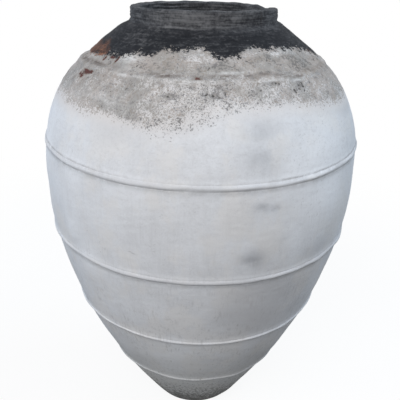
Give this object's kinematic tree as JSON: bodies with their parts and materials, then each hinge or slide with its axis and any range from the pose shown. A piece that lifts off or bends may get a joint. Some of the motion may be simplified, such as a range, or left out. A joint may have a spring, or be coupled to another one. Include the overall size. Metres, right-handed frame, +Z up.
{
  "type": "pithos storage jar",
  "caption": "Large egg-shaped storage jar of coarse fired clay, with a short wide neck, raised clay bands round the body, a limewashed belly and a blackened neck and shoulder.",
  "frame": {"origin": "middle of the floor slab's underside, where the jar stands on the ground", "axes": "+Z up along the jar's axis, through the mouth; -Y is the side that the picture shows"},
  "size_m": [0.9144, 0.9142, 1.297],
  "materials": {
    "limewashed_clay": "matte limewash brushed over coarse fired clay",
    "weathered_limewash": "worn, pitted and dusty limewash over coarse fired clay",
    "blackened_clay": "matte black wash, scuffed, with bare clay showing at one side",
    "bare_clay": "unglazed coarse terracotta"
  },
  "bodies": {
    "root": {"base_slab": "limewashed_clay", "floor_angle_coil": "bare_clay", "foot_course": "limewashed_clay", "lower_course": "limewashed_clay", "middle_course": "limewashed_clay", "belly_course": "limewashed_clay", "upper_course": "weathered_limewash", "shoulder_course": "blackened_clay", "neck_collar": "blackened_clay", "rim_coil": "blackened_clay", "foot_band": "limewashed_clay", "lower_band": "limewashed_clay", "middle_band": "limewashed_clay", "girth_band": "limewashed_clay", "shoulder_band": "weathered_limewash"}
  },
  "joints": []
}
